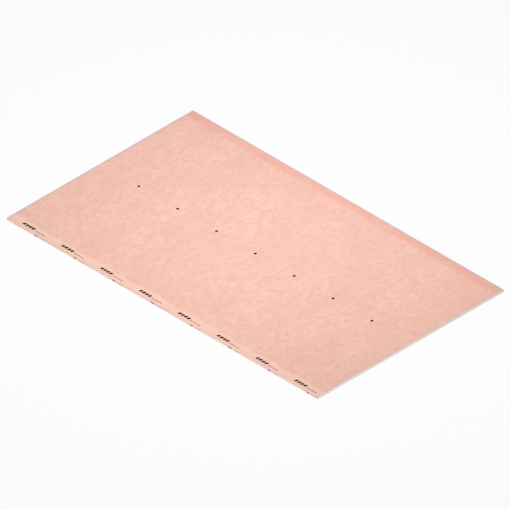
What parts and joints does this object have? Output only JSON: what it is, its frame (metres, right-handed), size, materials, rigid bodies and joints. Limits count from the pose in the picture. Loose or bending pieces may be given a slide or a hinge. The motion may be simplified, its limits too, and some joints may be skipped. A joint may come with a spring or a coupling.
{
  "type": "drywall sheet",
  "caption": "Flat rectangular drywall sheet: pink paper face, tapered paper-bound long edges and square-cut gypsum ends, for lining walls and ceilings.",
  "frame": {"origin": "middle of the back face, which is the face the sheet lies on", "axes": "+X along the sheet's length, +Y across its width, +Z out of the pink face"},
  "size_m": [2, 1.2, 0.0125],
  "materials": {
    "face_paper": "matte",
    "back_paper": "matte",
    "gypsum_core": "matte",
    "print_ink": "matte"
  },
  "bodies": {
    "root": {"drywall_sheet": "face_paper"}
  },
  "joints": []
}
